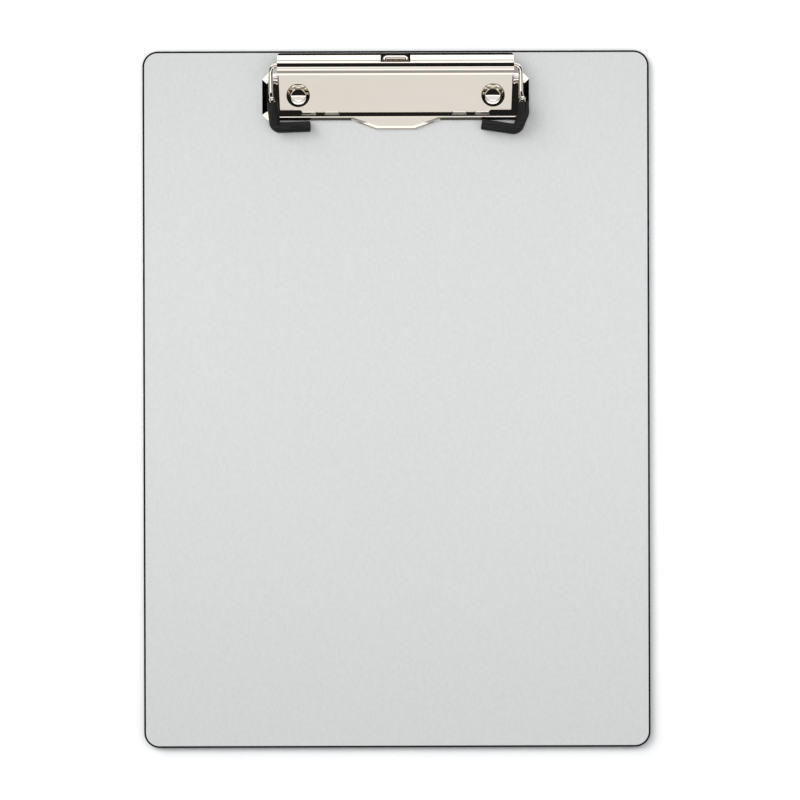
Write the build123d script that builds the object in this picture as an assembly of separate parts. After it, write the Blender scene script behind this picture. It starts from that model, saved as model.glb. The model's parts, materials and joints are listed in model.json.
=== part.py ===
from build123d import *
import math
import os

# Clipboard with a low-profile lever clip, in millimetres.
# It lies on its back: X across, Y towards the clip end, Z out of the writing face.
# Positions along the board are given as a setback from the top edge, and heights on
# the clip as a rise above the writing face.

os.makedirs("parts", exist_ok=True)

# board
WIDTH = 229.0
LENGTH = 315.0
CORNER_R = 7.0
CORE_T = 2.7
FACE_SHEET_T = 0.3
FACE_SHEET_INSET = 0.9
FACE = CORE_T + FACE_SHEET_T

# clip base: a pressed tray with a raised floor, a front tongue and a flat rear apron
SHEET = 0.7
BASE_RISE = 2.0
BASE_REAR = 10.3
BASE_FRONT = 31.5
BASE_HALF_W = 60.25
BASE_BEND_W = 2.2
FRONT_BEND_W = 1.3
BASE_CORNER = 2.6
# half width at the root and at the tip, setback of the tip, rise at the root and at the tip
TONGUE_FOOT = (23.4, 8.8, 35.6, SHEET, SHEET)
TONGUE_RIM = (22.2, 8.6, 35.1, 1.3, 1.0)
TONGUE_CROWN = (19.7, 8.0, 34.1, 1.95, 1.35)
APRON_REAR = 1.1
APRON_HALF_W = 53.2
APRON_CORNER = 1.0

# rivets through base, sheet and core, with washers sunk in the back
RIVET_X = 43.9
RIVET_SETBACK = 19.8
RIVET_HEAD_R = 4.6
RIVET_SHOULDER_R = 3.7
RIVET_SHOULDER_H = 0.32
RIVET_DOME_R = 3.5
RIVET_DOME_H = 0.62
RIVET_SHANK_R = 1.6
RIVET_TAIL_R = 2.8
RIVET_HOLE_R = 1.7
SEAT_R = 2.1
SEAT_MOUTH_R = 3.1
WASHER_R = 4.5
WASHER_T = 0.6
RECESS_R = 4.9
RECESS_DEPTH = 1.2
TAIL_T = 0.5

# ears of the base and the pins the wire arms rock on
EAR_INNER_X = 53.3
EAR_HALF_W = 1.9
PIN_SETBACK = 13.2
PIN_RISE = 3.6
PIN_R = 1.5
PIN_HEAD_R = 1.8
PIN_HEAD_T = 0.4
PIN_END_X = 57.6

# lever plate, drawn flat about its hinge line and then tilted
HINGE_SETBACK = 28.2
HINGE_RISE = 1.8
LEVER_TILT = 13.5
LEVER_MID = 1.05
LEVER_FRONT = 0.7
LEVER_STEP = 1.1
LEVER_STEP_X = 42.5
PLATE_HALF_FRONT = 52.1
PLATE_HALF_REAR = 52.6
FLAT_LENGTH = 17.25
FOOT_R = 4.25
FOOT_TURN = 24.0
CREST_R = 3.15
RIDGE_LENGTH = 0.6
SKIRT_R = 4.85
SKIRT_TURN = 78.0
ROLL_HALF_W = 53.3
NOTCH_HALF_W = 6.7
NOTCH_SETBACK = 6.0
ACCESS_R = 5.3
ACCESS_SETBACK = 20.3

# hinge tabs on the lever's front edge, each hooked through a slot of the base
TAB_X = (28.8, 39.0)
TAB_W = 6.0
TAB_BEND_R = 0.8
TAB_LEAN = 10.0
TAB_DROP = 0.8
TAB_HOOK_R = 0.6
SLOT_W = 6.8
SLOT_FROM = 27.4
SLOT_TO = 29.3

# spring wire
WIRE_R = 0.975
BAR_SETBACK = 7.3
BAR_RISE = 6.55
ARM_X = 56.3
CRANK_HALF_W = 4.9
CRANK_SETBACK = 3.8
CRANK_RISE = 5.8
KNEE_SETBACK = 20.0
KNEE_RISE = 5.64
ARM_RISE = 5.75
COLLAR_SETBACK = 23.6
SHOULDER_SETBACK = 28.7
FOOT_RISE = 2.6
BEAD_R = 1.35
BEAD_SETBACK = 22.4
# x at the knee, the collar and the shoulder, then x and setback of the foot's corner
# and of the grip's closed end
ARM_BEND = {
    -1: (56.1, 55.5, 55.0, (54.4, 34.95), (38.4, 34.4)),
    1: (56.4, 57.5, 57.8, (54.8, 36.0), (38.7, 33.6)),
}
SIDE_NAME = {-1: "left", 1: "right"}

# rubber grips
GRIP_R = 2.42
GRIP_SKIN_END = 1.6


def behind(setback):
    """Y of a line that lies a setback in from the top edge."""
    return LENGTH / 2 - setback


def save(solid, name):
    solid.label = name
    export_step(solid, f"parts/{name}.step")


def rounded_panel(inset, bottom, thickness):
    outline = RectangleRounded(WIDTH - 2 * inset, LENGTH - 2 * inset, CORNER_R - inset)
    return Pos(0, 0, bottom) * extrude(outline, thickness)


def upright(x, setback, radius, bottom, top):
    """Cylinder on a rivet line, between two heights above the board's back."""
    height = top - bottom
    return Pos(x, behind(setback), (bottom + top) / 2) * Cylinder(radius, height)


def rivet_positions():
    return [side * RIVET_X for side in SIDE_NAME]


def board_core():
    core = rounded_panel(0, 0, CORE_T)
    rims = core.edges().group_by(Axis.Z)
    core = fillet(rims[0] + rims[-1], 0.35)
    for x in rivet_positions():
        core -= upright(x, RIVET_SETBACK, RIVET_HOLE_R, -1, CORE_T + 1)
        core -= upright(x, RIVET_SETBACK, RECESS_R, -1, RECESS_DEPTH)
    return core


def front_sheet():
    sheet = rounded_panel(FACE_SHEET_INSET, CORE_T, FACE_SHEET_T)
    for x in rivet_positions():
        sheet -= upright(x, RIVET_SETBACK, RIVET_HOLE_R, 0, FACE + 1)
    return sheet


def tray_outline(share, height):
    """Octagon of the tray, from its upper bend line at 0 to its foot at 1."""
    inset = BASE_BEND_W * (1 - share)
    half_w = BASE_HALF_W - inset
    rear = behind(BASE_REAR + inset)
    front = behind(BASE_FRONT - FRONT_BEND_W * (1 - share))
    right = [
        (half_w - BASE_CORNER, front),
        (half_w, front + BASE_CORNER),
        (half_w, rear - BASE_CORNER),
        (half_w - BASE_CORNER, rear),
    ]
    left = [(-x, y) for x, y in reversed(right)]
    return Plane.XY.offset(height) * make_face(Polyline(*right, *left, close=True))


def tongue_face(half_root, half_tip, tip_setback, root_rise, tip_rise):
    """One level of the tongue: a trapezoid that slopes down towards its tip."""
    root = behind(BASE_FRONT - FRONT_BEND_W)
    tip = behind(tip_setback)
    corners = [
        (-half_root, root, FACE + root_rise),
        (-half_tip, tip, FACE + tip_rise),
        (half_tip, tip, FACE + tip_rise),
        (half_root, root, FACE + root_rise),
    ]
    return Face(Wire(Polyline(*corners, close=True).edges()))


def raised_floor():
    """Everything of the tray above the thickness of its foot."""
    low = FACE + SHEET
    high = FACE + BASE_RISE
    body = loft([tray_outline(1, low), tray_outline(0, high)], ruled=True)
    body = fillet(body.edges().group_by(Axis.Z)[-1], 0.9)
    foot = tongue_face(*TONGUE_FOOT)
    rim = tongue_face(*TONGUE_RIM)
    crown = tongue_face(*TONGUE_CROWN)
    return body + loft([foot, rim], ruled=True) + loft([rim, crown], ruled=True)


def clip_base():
    raised = raised_floor()
    foot_faces = raised.faces().sort_by(Axis.Z)[0]
    base = raised + Pos(0, 0, -SHEET) * extrude(foot_faces, SHEET, dir=(0, 0, 1))
    base -= Pos(0, 0, -SHEET) * raised
    base += apron()
    for x in rivet_positions():
        base = rivet_seat(base, x)
    for side in SIDE_NAME:
        base = ear(base, side)
        for tab_x in TAB_X:
            slot_y = behind((SLOT_FROM + SLOT_TO) / 2)
            slot = Box(SLOT_W, SLOT_TO - SLOT_FROM, 4 * SHEET)
            base -= Pos(side * tab_x, slot_y, FACE + BASE_RISE) * slot
    return base


def apron():
    """Flat strip of the base that lies on the board behind the tray."""
    length = BASE_REAR + 0.6 - APRON_REAR
    plate = Box(2 * APRON_HALF_W, length, SHEET)
    rear_corners = plate.edges().filter_by(Axis.Z).group_by(Axis.Y)[-1]
    plate = fillet(rear_corners, APRON_CORNER)
    return Pos(0, behind(APRON_REAR + length / 2), FACE + SHEET / 2) * plate


def rivet_seat(base, x):
    """Dimple pressed down to the board so the rivet pulls metal on to the sheet."""
    y = behind(RIVET_SETBACK)
    depth = BASE_RISE - SHEET
    outside = Cone(SEAT_R + SHEET, SEAT_MOUTH_R + SHEET, depth)
    inside = Cone(SEAT_R, SEAT_MOUTH_R, depth)
    base += Pos(x, y, FACE + depth / 2) * outside
    base -= Pos(x, y, FACE + SHEET + depth / 2) * inside
    base -= upright(x, RIVET_SETBACK, RIVET_HOLE_R, FACE - 1, FACE + SHEET + 1)
    return base


def ear(base, side):
    """Upright tab lanced out of the floor, with the pin's hole."""
    y = behind(PIN_SETBACK)
    root = FACE + BASE_RISE - SHEET
    axis_z = FACE + PIN_RISE
    middle_x = side * (EAR_INNER_X + SHEET / 2)
    window_l = 4.6
    window = Box(window_l, 2 * EAR_HALF_W + 0.6, 4 * SHEET)
    base -= Pos(side * (EAR_INNER_X - window_l / 2), y, FACE + BASE_RISE) * window
    blade = Pos(middle_x, y, (root + axis_z) / 2) * Box(SHEET, 2 * EAR_HALF_W, axis_z - root)
    crown = Pos(middle_x, y, axis_z) * Rot(0, 90, 0) * Cylinder(EAR_HALF_W, SHEET)
    hole = Pos(middle_x, y, axis_z) * Rot(0, 90, 0) * Cylinder(PIN_R, 3 * SHEET)
    return base + blade + crown - hole


def rivet(x):
    """Low domed head, plug in the seat, shank, and a tail spread over the washer."""
    y = behind(RIVET_SETBACK)
    seat = FACE + SHEET
    floor = FACE + BASE_RISE
    brow = floor + RIVET_SHOULDER_H
    shoulder = Cone(RIVET_HEAD_R, RIVET_SHOULDER_R, RIVET_SHOULDER_H)
    head = Pos(x, y, floor + RIVET_SHOULDER_H / 2) * shoulder
    sphere_r = (RIVET_DOME_R ** 2 + RIVET_DOME_H ** 2) / (2 * RIVET_DOME_H)
    ball = Pos(x, y, brow + RIVET_DOME_H - sphere_r) * Sphere(sphere_r)
    dome = ball & upright(x, RIVET_SETBACK, RIVET_HEAD_R, brow, brow + 2 * RIVET_DOME_H)
    plug = Cone(SEAT_R - 0.05, SEAT_MOUTH_R - 0.05, floor - seat)
    plug = Pos(x, y, (seat + floor) / 2) * plug
    tail_top = RECESS_DEPTH - WASHER_T
    shank = upright(x, RIVET_SETBACK, RIVET_SHANK_R, tail_top - TAIL_T, seat)
    tail = upright(x, RIVET_SETBACK, RIVET_TAIL_R, tail_top - TAIL_T, tail_top)
    tail = fillet(tail.edges().group_by(Axis.Z)[0], 0.3)
    return head + dome + plug + shank + tail


def washer(x):
    bottom = RECESS_DEPTH - WASHER_T
    ring = upright(x, RIVET_SETBACK, WASHER_R, bottom, RECESS_DEPTH)
    return ring - upright(x, RIVET_SETBACK, RIVET_HOLE_R, bottom - 1, RECESS_DEPTH + 1)


def along_x(side, from_x, to_x, radius):
    """Cylinder on the pin's axis between two distances from the middle."""
    middle = side * (from_x + to_x) / 2
    rod = Rot(0, 90, 0) * Cylinder(radius, to_x - from_x)
    return Pos(middle, behind(PIN_SETBACK), FACE + PIN_RISE) * rod


def pivot_pin(side):
    head = along_x(side, EAR_INNER_X - PIN_HEAD_T, EAR_INNER_X, PIN_HEAD_R)
    head_rim = head.edges().group_by(Axis.X)[0 if side > 0 else -1]
    head = fillet(head_rim, 0.35)
    shank = along_x(side, EAR_INNER_X, PIN_END_X, PIN_R)
    end_rim = shank.edges().group_by(Axis.X)[-1 if side > 0 else 0]
    return head + chamfer(end_rim, 0.3)


def swept_strip(path, width, middle_x=0.0):
    """Sheet strip of the given width following a path drawn in the YZ plane."""
    start = Plane(path @ 0, x_dir=(1, 0, 0), z_dir=path % 0)
    strip = sweep(start * Rectangle(width, SHEET), path=path)
    return Pos(middle_x, 0, 0) * strip


def lever_path():
    """Flat plate, concave foot, crest, level ridge and rear skirt, as one tangent line."""
    flat = Line((0, LEVER_FRONT, LEVER_MID), (0, FLAT_LENGTH, LEVER_MID)).edge()
    foot = arc_yz(flat @ 1, 0, FOOT_R, FOOT_TURN)
    crest = arc_yz(foot @ 1, FOOT_TURN, CREST_R, -FOOT_TURN - LEVER_TILT)
    ridge_run = RIDGE_LENGTH * direction_yz(math.radians(-LEVER_TILT))
    ridge = Line(crest @ 1, (crest @ 1) + ridge_run).edge()
    skirt = arc_yz(ridge @ 1, -LEVER_TILT, SKIRT_R, -SKIRT_TURN)
    return Wire([flat, foot, crest, ridge, skirt])


def arc_yz(start, heading, radius, turn):
    """Arc in the YZ plane; heading and turn in degrees, anticlockwise seen from +X."""
    towards_centre = math.radians(heading + math.copysign(90, turn))
    centre = start + radius * direction_yz(towards_centre)
    middle = towards_centre + math.pi + math.radians(turn / 2)
    finish = towards_centre + math.pi + math.radians(turn)
    through = centre + radius * direction_yz(middle)
    return ThreePointArc(start, through, centre + radius * direction_yz(finish)).edge()


def direction_yz(angle):
    return Vector(0, math.cos(angle), math.sin(angle))


def lever_outline():
    """Plan of the plate and the roll, used to trim the swept strip."""
    roll_front = FLAT_LENGTH + 0.9
    right = [
        (LEVER_STEP_X - 0.5, LEVER_FRONT),
        (LEVER_STEP_X + 0.5, LEVER_FRONT + LEVER_STEP),
        (PLATE_HALF_FRONT, LEVER_FRONT + LEVER_STEP),
        (PLATE_HALF_REAR, roll_front - 0.9),
        (ROLL_HALF_W, roll_front),
        (ROLL_HALF_W, roll_front + 4 * SKIRT_R),
    ]
    left = [(-x, y) for x, y in reversed(right)]
    return make_face(Polyline(*right, *left, close=True))


def hinge_tab(x):
    """Tongue that bends down through the base's slot and hooks forward under it."""
    edge = (0, LEVER_FRONT, LEVER_MID)
    root = Line((0, LEVER_FRONT + 0.4, LEVER_MID), edge).edge()
    down = 270 - TAB_LEAN
    bend = arc_yz(root @ 1, 180, TAB_BEND_R, down - 180)
    drop = Line(bend @ 1, (bend @ 1) + TAB_DROP * direction_yz(math.radians(down))).edge()
    hook = arc_yz(drop @ 1, down, TAB_HOOK_R, -90)
    return swept_strip(Wire([root, bend, drop, hook]), TAB_W, x)


def lever_plate():
    lever = swept_strip(lever_path(), 2 * ROLL_HALF_W + 1)
    lever &= Pos(0, 0, -10) * extrude(lever_outline(), 30)
    access_y = (HINGE_SETBACK - ACCESS_SETBACK) / math.cos(math.radians(LEVER_TILT))
    for side in SIDE_NAME:
        lever -= Pos(side * RIVET_X, access_y, LEVER_MID) * Cylinder(ACCESS_R, 4 * SHEET)
        for x in TAB_X:
            lever += hinge_tab(side * x)
    hinge = Pos(0, behind(HINGE_SETBACK), FACE + HINGE_RISE)
    lever = hinge * Rot(LEVER_TILT, 0, 0) * lever
    notch = Box(2 * NOTCH_HALF_W, 10, 20)
    return lever - Pos(0, behind(NOTCH_SETBACK) + 5, FACE + 10) * notch


def board_point(side, x, setback, rise):
    return (side * x, behind(setback), FACE + rise)


def foot_points(side, shorter):
    """Shoulder, foot corner, and a point that falls short of the grip's closed end."""
    knee_x, collar_x, shoulder_x, corner, end = ARM_BEND[side]
    share = shorter / (corner[0] - end[0])
    x = end[0] + (corner[0] - end[0]) * share
    setback = end[1] + (corner[1] - end[1]) * share
    return [
        board_point(side, shoulder_x, SHOULDER_SETBACK, ARM_RISE),
        board_point(side, *corner, FOOT_RISE),
        board_point(side, x, setback, FOOT_RISE),
    ]


def arm_points(side):
    """Wire centre line from the bar to the foot on one side."""
    knee_x, collar_x = ARM_BEND[side][:2]
    arm = [
        board_point(side, ARM_X, BAR_SETBACK, BAR_RISE),
        board_point(side, knee_x, KNEE_SETBACK, KNEE_RISE),
        board_point(side, collar_x, COLLAR_SETBACK, ARM_RISE),
    ]
    return arm + foot_points(side, GRIP_SKIN_END)


def crank_points(side):
    return [
        board_point(side, CRANK_HALF_W, CRANK_SETBACK, CRANK_RISE),
        board_point(side, CRANK_HALF_W, BAR_SETBACK, BAR_RISE),
    ]


def round_sweep(points, radii, radius):
    path = FilletPolyline(*points, radius=radii)
    start = Plane(path @ 0, z_dir=path % 0)
    return sweep(start * Circle(radius), path=path)


def wire_bail():
    arm_radii = [2.7, 6.0, 4.0, 3.0, 2.6]
    left = list(reversed(arm_points(-1))) + list(reversed(crank_points(-1)))
    right = crank_points(1) + arm_points(1)
    crank_radii = [1.3, 1.3, 1.3, 1.3]
    radii = list(reversed(arm_radii)) + crank_radii + arm_radii
    wire = round_sweep(left + right, radii, WIRE_R)
    for side in SIDE_NAME:
        wire += Pos(*bead_position(side)) * Sphere(BEAD_R)
    return wire


def bead_position(side):
    knee_x, collar_x = ARM_BEND[side][:2]
    share = (BEAD_SETBACK - KNEE_SETBACK) / (COLLAR_SETBACK - KNEE_SETBACK)
    return board_point(side, knee_x + (collar_x - knee_x) * share, BEAD_SETBACK, ARM_RISE)


def grip(side, wire):
    """Moulded sleeve over the lower arm and the foot, closed at the foot's end."""
    collar_x = ARM_BEND[side][1]
    collar = board_point(side, collar_x, COLLAR_SETBACK + 0.3, ARM_RISE)
    sleeve = round_sweep([collar] + foot_points(side, 0.0), [3.0, 2.6], GRIP_R)
    ends = sleeve.edges().filter_by(GeomType.CIRCLE).filter_by(
        lambda edge: abs(edge.length - 2 * math.pi * GRIP_R) < 0.01)
    closed_end = ends.sort_by(Axis.X)[0 if side > 0 else -1]
    sleeve = fillet(closed_end, 0.6)
    return sleeve - wire


def main():
    wire = wire_bail()
    save(board_core(), "board_core")
    save(front_sheet(), "front_sheet")
    save(clip_base(), "clip_base")
    save(lever_plate(), "lever_plate")
    save(wire, "wire_bail")
    for side, name in SIDE_NAME.items():
        save(rivet(side * RIVET_X), f"rivet_{name}")
        save(washer(side * RIVET_X), f"washer_{name}")
        save(pivot_pin(side), f"pivot_pin_{name}")
        save(grip(side, wire), f"grip_{name}")


main()
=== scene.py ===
import json
import math

import bpy
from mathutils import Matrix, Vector


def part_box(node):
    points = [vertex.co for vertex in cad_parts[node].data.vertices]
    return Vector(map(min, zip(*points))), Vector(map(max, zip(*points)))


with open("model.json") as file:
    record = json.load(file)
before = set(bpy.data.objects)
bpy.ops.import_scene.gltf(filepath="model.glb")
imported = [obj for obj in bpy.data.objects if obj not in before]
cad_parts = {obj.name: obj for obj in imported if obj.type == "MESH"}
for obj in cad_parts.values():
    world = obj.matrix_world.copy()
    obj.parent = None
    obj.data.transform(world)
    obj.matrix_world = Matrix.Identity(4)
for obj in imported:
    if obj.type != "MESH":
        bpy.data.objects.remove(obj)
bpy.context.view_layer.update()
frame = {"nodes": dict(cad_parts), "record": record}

MM = 0.001

# camera, straight above the writing face
CAMERA_HEIGHT = 1.4
FIELD_WIDTH = 0.3616
CAMERA_SHIFT = (0.0016, -0.0004)
CAMERA_ROLL = math.radians(-0.16)
SENSOR_WIDTH = 36.0
CLIP_END = 20.0

# floor, just under the board's back
FLOOR_HALF = 9.0
FLOOR_GAP = 0.0002

# what the studio gives each kind of ray
FILL_COLOUR = (0.97, 0.985, 1.0, 1)
FILL_STRENGTH = 0.50
BACKDROP_COLOUR = (0.95, 0.955, 0.96, 1)
BACKDROP_STRENGTH = 1.0
MIRRORED_STRENGTH = 1.6

# lights
KEY_STRENGTH = 1.95
KEY_ANGLE = math.radians(43)
KEY_TOWARDS = (1.35, -1.0, -1.1)
STRIP_WATTS = 1.41
STRIP_WIDTH = 1.4
STRIP_LENGTH = 0.3
STRIP_PLACE = (0, 0.065, 0.33)

# What the plated metal mirrors, as (component of the mirrored direction, brightness).
# The soft boxes are long and lie across the board, so their brightness depends only on
# Y, how far the direction leans from the foot of the board towards its clip end.
SOFT_BOXES = [
    (-1.00, 0.05), (-0.96, 0.05), (-0.945, 0.16), (-0.90, 0.16), (-0.88, 0.28),
    (-0.75, 0.28), (-0.73, 0.90), (-0.46, 0.90), (-0.41, 0.587), (-0.12, 0.60),
    (-0.09, 1.00), (-0.035, 1.00), (-0.02, 0.01), (0.50, 0.01), (0.53, 1.00),
    (0.80, 1.00), (0.82, 0.30), (0.89, 0.30), (0.91, 1.00),
]
# Dark flags hide the boxes' ends and grey walls stand beyond them, by the size of X.
SIDE_FLAGS = [(-1.0, 1.0), (0.70, 1.0), (0.74, 0.04), (1.0, 0.04)]
SIDE_WALLS = [(-1.0, 0.0), (0.92, 0.0), (0.95, 0.55), (1.0, 0.55)]
# A pale table fills everything below, by Z.
TABLE = [(-1.0, 0.9), (-0.03, 0.9), (0.0, 0.0), (1.0, 0.0)]

# where the grips turn from arm to foot, and half the length of the turn
GRIP_TURN_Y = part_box("grip_left")[0].y + 4.9 * MM
GRIP_TURN_HALF = 1.0 * MM

# most of a noise texture's values lie between these
NOISE_LOW = 0.3
NOISE_HIGH = 0.7


# ---------------------------------------------------------------- node helpers

def new_material(name):
    material = bpy.data.materials.new(name)
    material.use_nodes = True
    nodes = material.node_tree.nodes
    return material, nodes, material.node_tree.links, nodes["Principled BSDF"]


def noise(nodes, links, scale, detail=3.0, roughness=0.5, stretch=(1, 1, 1)):
    """Noise in object space, with the coordinates scaled differently along each axis."""
    coordinate = nodes.new("ShaderNodeTexCoord")
    mapping = nodes.new("ShaderNodeMapping")
    mapping.inputs["Scale"].default_value = stretch
    links.new(coordinate.outputs["Object"], mapping.inputs["Vector"])
    node = nodes.new("ShaderNodeTexNoise")
    node.inputs["Scale"].default_value = scale
    node.inputs["Detail"].default_value = detail
    node.inputs["Roughness"].default_value = roughness
    links.new(mapping.outputs["Vector"], node.inputs["Vector"])
    return node.outputs["Fac"]


def components(nodes, links, coordinate):
    """X, Y and Z of the named texture coordinate."""
    source = nodes.new("ShaderNodeTexCoord")
    axes = nodes.new("ShaderNodeSeparateXYZ")
    links.new(source.outputs[coordinate], axes.inputs["Vector"])
    return axes.outputs


def remapped(nodes, links, value, source, target=(0.0, 1.0)):
    """Moves a value from one (low, high) range to another."""
    node = nodes.new("ShaderNodeMapRange")
    node.inputs["From Min"].default_value = source[0]
    node.inputs["From Max"].default_value = source[1]
    node.inputs["To Min"].default_value = target[0]
    node.inputs["To Max"].default_value = target[1]
    links.new(value, node.inputs["Value"])
    return node.outputs["Result"]


def spread(nodes, links, value, low, high):
    """Spreads a noise value over the given range."""
    return remapped(nodes, links, value, (NOISE_LOW, NOISE_HIGH), (low, high))


def tint(nodes, links, value, dark, light):
    """Colour between two tones, driven by a noise value."""
    ramp = nodes.new("ShaderNodeValToRGB")
    stops = [(NOISE_LOW, dark), (NOISE_HIGH, light)]
    for element, (position, colour) in zip(ramp.color_ramp.elements, stops):
        element.position = position
        element.color = (*colour, 1)
    links.new(value, ramp.inputs["Fac"])
    return ramp.outputs["Color"]


def bump(nodes, links, height, distance, strength, normal=None):
    node = nodes.new("ShaderNodeBump")
    node.inputs["Distance"].default_value = distance
    node.inputs["Strength"].default_value = strength
    links.new(height, node.inputs["Height"])
    if normal is not None:
        links.new(normal, node.inputs["Normal"])
    return node.outputs["Normal"]


def banded(nodes, links, value, stops):
    """Grey level of a value from -1 to 1, read off (value, brightness) stops."""
    node = nodes.new("ShaderNodeValToRGB")
    elements = node.color_ramp.elements
    while len(elements) < len(stops):
        elements.new(0.5)
    for element, (place, level) in zip(elements, stops):
        element.position = (place + 1) / 2
        element.color = (level, level, level, 1)
    links.new(remapped(nodes, links, value, (-1.0, 1.0)), node.inputs["Fac"])
    return node.outputs["Color"]


def blended(nodes, links, mode, first, second):
    """Two colours joined by a blend mode."""
    node = nodes.new("ShaderNodeMix")
    node.data_type = "RGBA"
    node.blend_type = mode
    node.inputs["Factor"].default_value = 1.0
    first_colour, second_colour = [end for end in node.inputs if end.type == "RGBA"]
    links.new(first, first_colour)
    links.new(second, second_colour)
    return next(end for end in node.outputs if end.type == "RGBA")


def chosen(nodes, links, choice, otherwise, shader):
    """Uses the last node's shader where the choice is 1, else the one before it."""
    node = nodes.new("ShaderNodeMixShader")
    links.new(choice, node.inputs["Fac"])
    links.new(otherwise.outputs[0], node.inputs[1])
    links.new(shader.outputs[0], node.inputs[2])
    return node


# ------------------------------------------------------------------- materials

def connect(links, shader, colour, roughness, normal):
    links.new(colour, shader.inputs["Base Color"])
    links.new(roughness, shader.inputs["Roughness"])
    links.new(normal, shader.inputs["Normal"])


def core_plastic():
    """Black plastic panel with a fine moulded grain."""
    material, nodes, links, shader = new_material("core_plastic")
    patches = noise(nodes, links, scale=60)
    grain = noise(nodes, links, scale=2600, detail=2)
    colour = tint(nodes, links, patches, (0.008, 0.008, 0.009), (0.016, 0.016, 0.017))
    roughness = spread(nodes, links, patches, low=0.42, high=0.58)
    relief = bump(nodes, links, grain, distance=0.03 * MM, strength=0.5)
    connect(links, shader, colour, roughness, relief)
    shader.inputs["Specular IOR Level"].default_value = 0.06
    return material


def silver_sheet():
    """Satin silver sheet: a fine metallic grain that runs along the board."""
    material, nodes, links, shader = new_material("silver_sheet")
    broad = noise(nodes, links, scale=9, detail=2)
    grain = noise(nodes, links, scale=3000, detail=2, roughness=0.6, stretch=(1, 0.35, 1))
    fleck = noise(nodes, links, scale=900, roughness=0.7, stretch=(1, 0.6, 1))
    colour = tint(nodes, links, fleck, (0.592, 0.607, 0.602), (0.638, 0.650, 0.644))
    roughness = spread(nodes, links, broad, low=0.44, high=0.52)
    relief = bump(nodes, links, grain, distance=0.01 * MM, strength=0.35)
    connect(links, shader, colour, roughness, relief)
    shader.inputs["Metallic"].default_value = 0.2
    return material


def nickel(name, dark, light, roughness, grain_axis, ripple_height):
    """Bright nickel plate: faint ripple, hairline rubs, soft mottling."""
    material, nodes, links, shader = new_material(name)
    mottle = noise(nodes, links, scale=60, stretch=(0.35, 1, 1))
    hairline = noise(nodes, links, scale=1500, detail=2, roughness=0.6, stretch=grain_axis)
    ripple = noise(nodes, links, scale=45, detail=1, stretch=(1, 1.6, 1))
    rubbed = bump(nodes, links, hairline, distance=0.002 * MM, strength=0.25)
    relief = bump(nodes, links, ripple, distance=ripple_height, strength=0.3, normal=rubbed)
    connect(links, shader, tint(nodes, links, mottle, dark, light),
            spread(nodes, links, mottle, *roughness), relief)
    shader.inputs["Metallic"].default_value = 1.0
    return material


def grip_rubber():
    """Black rubber with striations that follow the sleeve down the arm and along the foot."""
    material, nodes, links, shader = new_material("grip_rubber")
    along_arm = noise(nodes, links, scale=1500, detail=2, roughness=0.6, stretch=(1, 0.06, 0.3))
    along_foot = noise(nodes, links, scale=1500, detail=2, roughness=0.6, stretch=(0.05, 1, 1))
    turn = (GRIP_TURN_Y - GRIP_TURN_HALF, GRIP_TURN_Y + GRIP_TURN_HALF)
    on_arm = remapped(nodes, links, components(nodes, links, "Object")["Y"], turn)
    mixer = nodes.new("ShaderNodeMix")
    links.new(on_arm, mixer.inputs["Factor"])
    links.new(along_foot, mixer.inputs["A"])
    links.new(along_arm, mixer.inputs["B"])
    streaks = mixer.outputs["Result"]
    colour = tint(nodes, links, streaks, (0.003, 0.003, 0.003), (0.019, 0.020, 0.019))
    roughness = spread(nodes, links, streaks, low=0.38, high=0.60)
    relief = bump(nodes, links, streaks, distance=0.12 * MM, strength=0.7)
    connect(links, shader, colour, roughness, relief)
    shader.inputs["Specular IOR Level"].default_value = 0.16
    return material


def floor_paint():
    """Matt, nearly white paint."""
    material, nodes, links, shader = new_material("floor_paint")
    speck = noise(nodes, links, scale=40, detail=2)
    links.new(tint(nodes, links, speck, (0.945, 0.947, 0.947), (0.955, 0.957, 0.957)),
              shader.inputs["Base Color"])
    shader.inputs["Roughness"].default_value = 0.9
    shader.inputs["Specular IOR Level"].default_value = 0.1
    return material


def plated_sheet():
    return nickel("nickel_sheet", dark=(0.762, 0.706, 0.630), light=(0.790, 0.735, 0.660),
                  roughness=(0.035, 0.065), grain_axis=(0.08, 1, 1), ripple_height=0.006 * MM)


def plated_wire():
    return nickel("spring_wire", dark=(0.750, 0.700, 0.630), light=(0.800, 0.750, 0.680),
                  roughness=(0.03, 0.06), grain_axis=(1, 0.1, 1), ripple_height=0.002 * MM)


def plated_fasteners():
    return nickel("fastener_steel", dark=(0.770, 0.730, 0.670), light=(0.820, 0.780, 0.720),
                  roughness=(0.04, 0.08), grain_axis=(1, 1, 1), ripple_height=0.002 * MM)


def paint_nodes():
    """Puts each slot's material on the CAD pieces that use it."""
    by_slot = {
        "core_plastic": core_plastic(),
        "silver_sheet": silver_sheet(),
        "nickel_sheet": plated_sheet(),
        "spring_wire": plated_wire(),
        "grip_rubber": grip_rubber(),
        "fastener_steel": plated_fasteners(),
    }
    for part in frame["record"]["subparts"]:
        for slot in frame["nodes"][part["node"]].material_slots:
            slot.material = by_slot[part["material_slot"]]


# ---------------------------------------------------------------------- studio

def floor():
    corners = [(-FLOOR_HALF, -FLOOR_HALF), (FLOOR_HALF, -FLOOR_HALF),
               (FLOOR_HALF, FLOOR_HALF), (-FLOOR_HALF, FLOOR_HALF)]
    mesh = bpy.data.meshes.new("floor")
    mesh.from_pydata([(x, y, -FLOOR_GAP) for x, y in corners], [], [(0, 1, 2, 3)])
    mesh.materials.append(floor_paint())
    plane = bpy.data.objects.new("floor", mesh)
    bpy.context.collection.objects.link(plane)
    plane.visible_glossy = False


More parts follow.
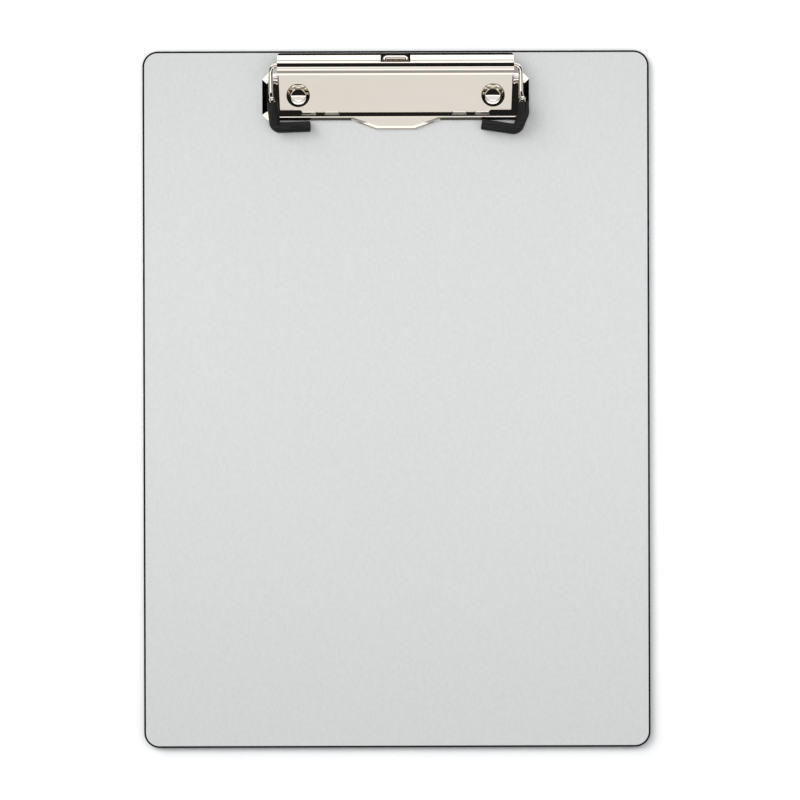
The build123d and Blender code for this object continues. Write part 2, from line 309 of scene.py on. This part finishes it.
def mirrored_level(nodes, links):
    """Brightness of the studio in each direction, as the metal mirrors it."""
    direction = components(nodes, links, "Generated")
    sideways = nodes.new("ShaderNodeMath")
    sideways.operation = "ABSOLUTE"
    links.new(direction["X"], sideways.inputs[0])
    boxes = banded(nodes, links, direction["Y"], SOFT_BOXES)
    flags = banded(nodes, links, sideways.outputs["Value"], SIDE_FLAGS)
    walls = banded(nodes, links, sideways.outputs["Value"], SIDE_WALLS)
    table = banded(nodes, links, direction["Z"], TABLE)
    level = blended(nodes, links, "MULTIPLY", boxes, flags)
    level = blended(nodes, links, "LIGHTEN", level, walls)
    return blended(nodes, links, "LIGHTEN", level, table)


def studio_world():
    """Pale backdrop for the camera, soft boxes for the mirrored rays, even fill for the rest."""
    world = bpy.data.worlds.new("studio")
    world.use_nodes = True
    nodes, links = world.node_tree.nodes, world.node_tree.links
    fill = nodes["Background"]
    fill.inputs["Color"].default_value = FILL_COLOUR
    fill.inputs["Strength"].default_value = FILL_STRENGTH
    mirrored = nodes.new("ShaderNodeBackground")
    mirrored.inputs["Strength"].default_value = MIRRORED_STRENGTH
    links.new(mirrored_level(nodes, links), mirrored.inputs["Color"])
    backdrop = nodes.new("ShaderNodeBackground")
    backdrop.inputs["Color"].default_value = BACKDROP_COLOUR
    backdrop.inputs["Strength"].default_value = BACKDROP_STRENGTH
    ray = nodes.new("ShaderNodeLightPath")
    lighting = chosen(nodes, links, ray.outputs["Is Glossy Ray"], fill, mirrored)
    seen = chosen(nodes, links, ray.outputs["Is Camera Ray"], lighting, backdrop)
    links.new(seen.outputs["Shader"], nodes["World Output"].inputs["Surface"])
    bpy.context.scene.world = world


def new_light(name, kind):
    """A light that the metal doesn't mirror."""
    data = bpy.data.lights.new(name, kind)
    light = bpy.data.objects.new(name, data)
    bpy.context.collection.objects.link(light)
    light.visible_glossy = False
    return light, data


def key_light():
    """Broad soft key from beyond the top left corner, so shadows fall right and down."""
    light, data = new_light("key", "SUN")
    data.energy = KEY_STRENGTH
    data.angle = KEY_ANGLE
    light.rotation_euler = Vector(KEY_TOWARDS).to_track_quat("-Z", "Y").to_euler()


def overhead_light():
    """Strip box above the clip half, so the silver face fades slightly towards the foot."""
    light, data = new_light("overhead", "AREA")
    data.shape = "RECTANGLE"
    data.energy = STRIP_WATTS
    data.size = STRIP_WIDTH
    data.size_y = STRIP_LENGTH
    light.location = STRIP_PLACE
    light.visible_camera = False


def camera():
    data = bpy.data.cameras.new("camera")
    data.sensor_width = SENSOR_WIDTH
    data.lens = SENSOR_WIDTH * CAMERA_HEIGHT / FIELD_WIDTH
    data.clip_end = CLIP_END
    eye = bpy.data.objects.new("camera", data)
    bpy.context.collection.objects.link(eye)
    face_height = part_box("front_sheet")[1].z
    eye.location = (*CAMERA_SHIFT, face_height + CAMERA_HEIGHT)
    eye.rotation_euler = (0, 0, CAMERA_ROLL)
    bpy.context.scene.camera = eye
    bpy.context.scene.view_settings.view_transform = "Standard"


paint_nodes()
floor()
studio_world()
key_light()
overhead_light()
camera()
